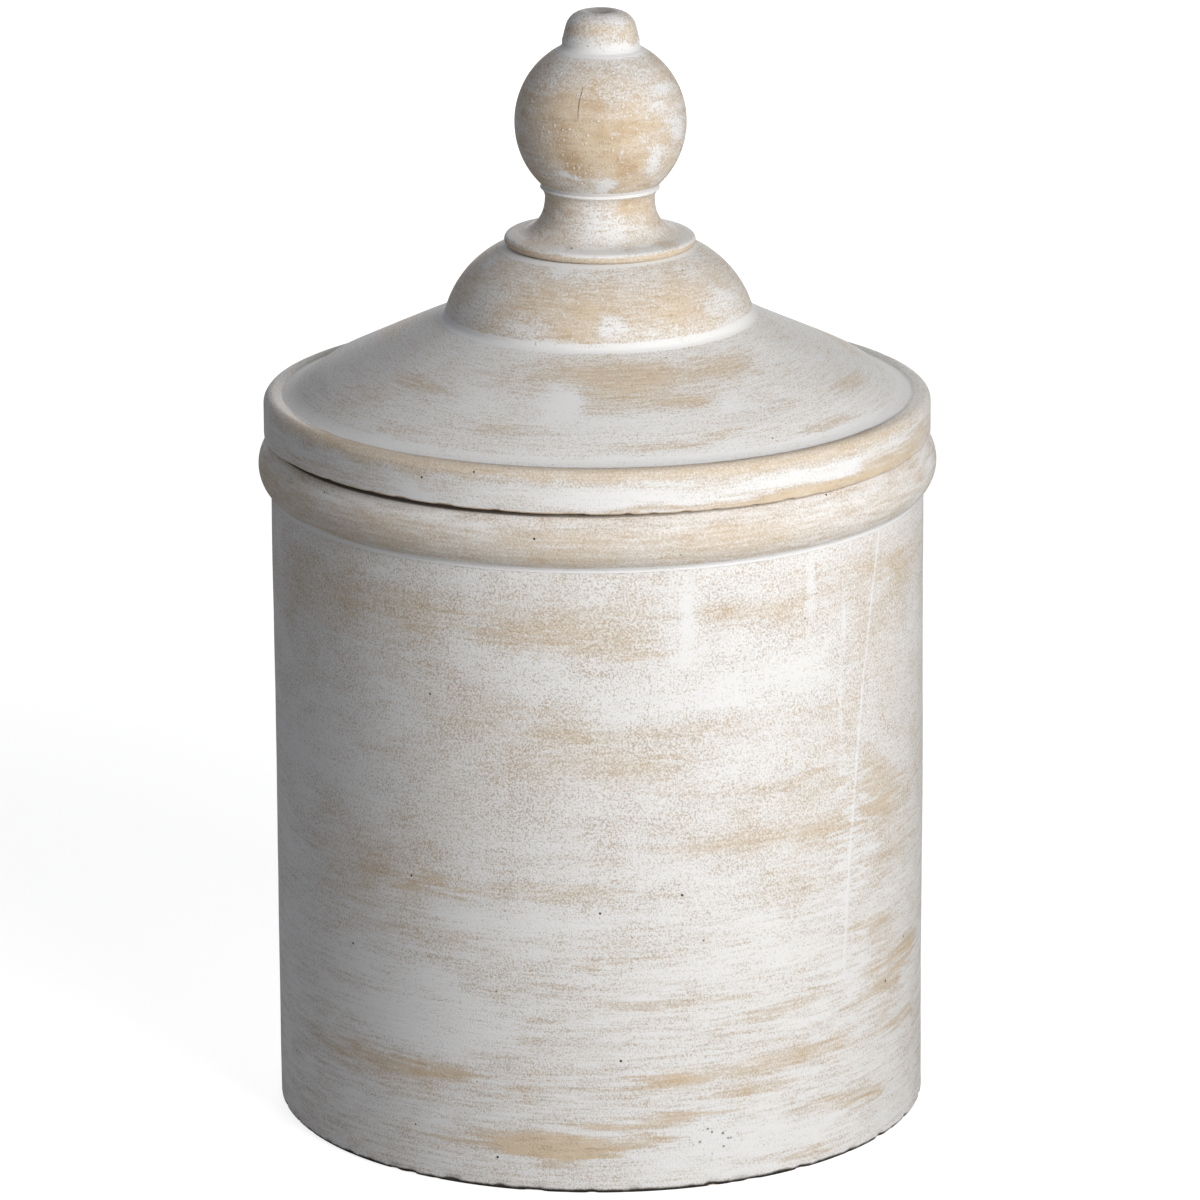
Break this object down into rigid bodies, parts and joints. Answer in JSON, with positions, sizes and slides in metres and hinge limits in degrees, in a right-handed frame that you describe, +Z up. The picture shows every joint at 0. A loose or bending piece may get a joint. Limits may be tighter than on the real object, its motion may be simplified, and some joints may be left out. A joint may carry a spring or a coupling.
{
  "type": "lidded ceramic canister",
  "caption": "Straight-sided round ceramic canister with a beaded mouth and a lift-off conical lid, domed at the crown and topped by a turned ball finial.",
  "frame": {"origin": "centre of the circle that the foot stands on, at the bottom of the jar", "axes": "+Z up along the axis of the jar and its lid; the canister is a body of revolution, so +X and -Y, the viewed front, are a free choice"},
  "size_m": [0.1994, 0.1994, 0.3294],
  "materials": {
    "jar_limewash": "matt off-white limewash brushed thinly over tan clay, worn through in streaks",
    "lid_limewash": "matt off-white limewash over tan clay, pooled white in the creases and worn to clay on the rims",
    "finial_limewash": "matt limewash mostly rubbed back to warm tan clay, with white left in pits and creases"
  },
  "bodies": {
    "jar": {"jar_body": "jar_limewash"},
    "lid": {"lid": "lid_limewash", "finial": "finial_limewash"}
  },
  "joints": [
    {"name": "lid_lift", "type": "slide", "parent": "jar", "child": "lid", "axis": [0, 0, 1], "range_m": [0, 0.2]}
  ]
}
